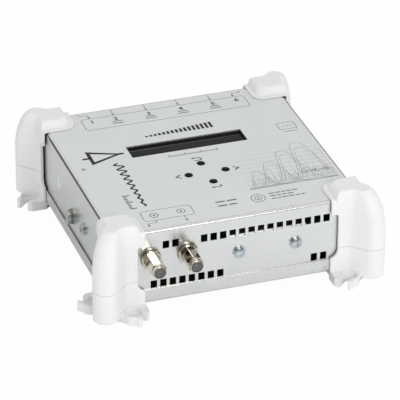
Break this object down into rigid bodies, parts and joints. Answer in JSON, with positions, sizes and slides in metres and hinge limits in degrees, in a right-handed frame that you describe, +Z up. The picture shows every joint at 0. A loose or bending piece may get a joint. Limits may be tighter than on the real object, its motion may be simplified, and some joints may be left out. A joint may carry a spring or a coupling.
{
  "type": "tv signal amplifier",
  "caption": "Flat metal box with coaxial sockets front and rear, a display window and push buttons on the lid, held at its corners by white brackets with forked screw slots.",
  "frame": {"origin": "middle of the case, on the surface that the brackets stand on", "axes": "+Z up through the lid, +Y from the wall with two sockets to the wall with six, +X along the front wall to the side with the power inlet"},
  "size_m": [0.2266, 0.225, 0.0702],
  "materials": {
    "case_zinc": "bright zinc-coated sheet steel",
    "label": "satin printed label film",
    "bracket_plastic": "fine-grained white moulding",
    "nickel": "nickel plate",
    "insulator": "dark grey",
    "contact": "bright",
    "zinc_screw": "blue zinc plate",
    "tooth_washer": "darkened spring steel",
    "board_green": "solder mask over glass-fibre board",
    "brass_post": "satin",
    "black_button": "satin black",
    "black_plastic": "black",
    "display_glass": "clear grey",
    "display_module": "dark grey back-lit panel",
    "heat_sink": "as extruded",
    "can_tin": "tinned sheet",
    "capacitor": "black sleeve",
    "coil": "coated core"
  },
  "bodies": {
    "case": {"board_header": "black_plastic", "board_screws": "zinc_screw", "board_standoffs": "brass_post", "bottom_tray": "case_zinc", "capacitors": "capacitor", "chips": "black_plastic", "coils": "coil", "data_port": "nickel", "data_port_tongue": "black_plastic", "display_frame": "black_plastic", "display_glass": "display_glass", "display_module": "display_module", "front_left_cap": "bracket_plastic", "front_left_foot": "bracket_plastic", "front_right_cap": "bracket_plastic", "front_right_foot": "bracket_plastic", "ground_base_washer": "zinc_screw", "ground_nut": "zinc_screw", "heat_sink": "heat_sink", "heat_sink_screws": "zinc_screw", "input_socket_1": "nickel", "input_socket_2": "nickel", "input_socket_3": "nickel", "input_socket_4": "nickel", "input_socket_5": "nickel", "input_socket_6": "nickel", "jack_pin": "nickel", "key_board": "board_green", "key_board_screws": "zinc_screw", "key_board_standoffs": "brass_post", "key_switches": "black_plastic", "label_film": "label", "main_board": "board_green", "output_socket": "nickel", "power_jack": "black_plastic", "power_transistor": "black_plastic", "rear_left_cap": "bracket_plastic", "rear_left_foot": "bracket_plastic", "rear_right_cap": "bracket_plastic", "rear_right_foot": "bracket_plastic", "screw_washers": "zinc_screw", "shield_cans": "can_tin", "side_screws": "zinc_screw", "socket_contacts": "contact", "socket_insulators": "insulator", "socket_nuts": "nickel", "socket_washers": "nickel", "test_point_socket": "nickel", "top_cover": "case_zinc"},
    "back_key": {"back_button": "black_button", "back_plunger": "black_plastic"},
    "enter_key": {"enter_button": "black_button", "enter_plunger": "black_plastic"},
    "left_key": {"left_button": "black_button", "left_plunger": "black_plastic"},
    "right_key": {"right_button": "black_button", "right_plunger": "black_plastic"},
    "ground_washers": {"ground_clamp_washers": "tooth_washer"},
    "ground_screw": {"ground_screw": "zinc_screw"}
  },
  "joints": [
    {"name": "back_press", "type": "slide", "parent": "case", "child": "back_key", "axis": [0, 0, -1], "range_m": [0, 0.0005], "stiffness_N_per_m": 1500, "springref_m": -0.0006},
    {"name": "enter_press", "type": "slide", "parent": "case", "child": "enter_key", "axis": [0, 0, -1], "range_m": [0, 0.0005], "stiffness_N_per_m": 1500, "springref_m": -0.0006},
    {"name": "left_press", "type": "slide", "parent": "case", "child": "left_key", "axis": [0, 0, -1], "range_m": [0, 0.0005], "stiffness_N_per_m": 1500, "springref_m": -0.0006},
    {"name": "right_press", "type": "slide", "parent": "case", "child": "right_key", "axis": [0, 0, -1], "range_m": [0, 0.0005], "stiffness_N_per_m": 1500, "springref_m": -0.0006},
    {"name": "ground_washer_slide", "type": "slide", "parent": "case", "child": "ground_washers", "axis": [-1, 0, 0], "range_m": [0, 0.0016]},
    {"name": "ground_screw_turn", "type": "hinge", "parent": "ground_washers", "child": "ground_screw", "pos_m": [-0.0925, 0.0005, 0.0303], "axis": [-1, 0, 0], "range_deg": [0, 720]}
  ],
  "couplings": [
    {"joint": "ground_screw_turn", "follows": "ground_washer_slide", "rad_per_m": 7854}
  ]
}
